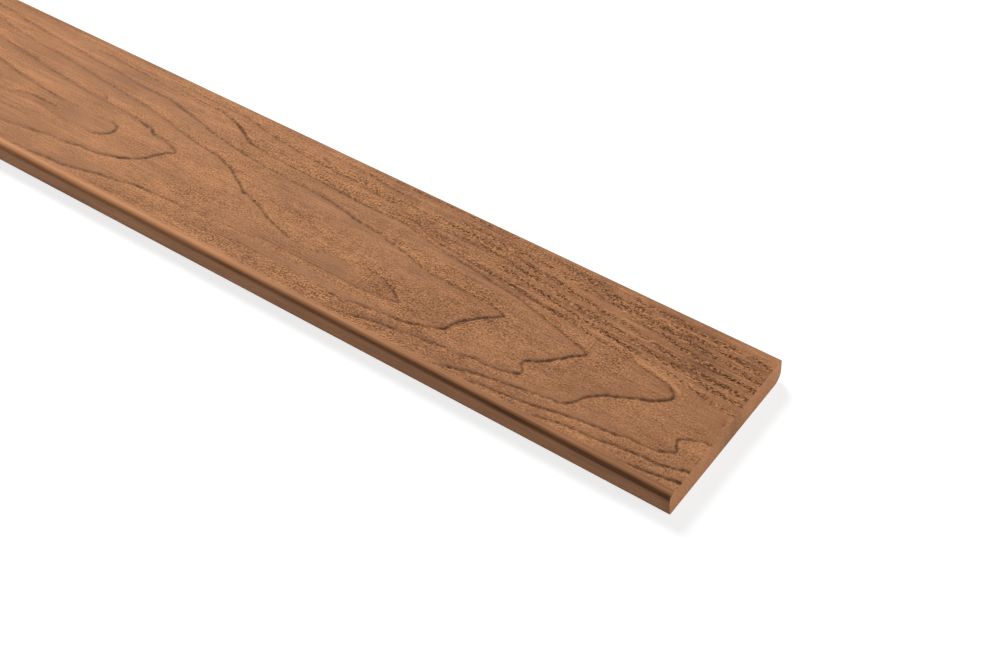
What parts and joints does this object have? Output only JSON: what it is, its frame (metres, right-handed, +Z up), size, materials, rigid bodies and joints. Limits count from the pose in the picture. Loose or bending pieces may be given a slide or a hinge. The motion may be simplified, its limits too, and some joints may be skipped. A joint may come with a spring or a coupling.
{
  "type": "composite fence board",
  "caption": "Flat solid wood-plastic composite board with wood grain embossed in its face and an eased long edge, used as a fence picket or plank.",
  "frame": {"origin": "middle of the underside, where the board rests", "axes": "+X along the board towards the end that the picture shows, +Y across its width from the front long edge to the rear one, +Z up out of the grained face"},
  "size_m": [1.8288, 0.1396, 0.0191],
  "materials": {
    "composite": "matt brown wood-plastic composite, with a wood grain embossed in the upper face, a plain rounded front edge and plain sawn ends"
  },
  "bodies": {
    "root": {"board": "composite"}
  },
  "joints": []
}
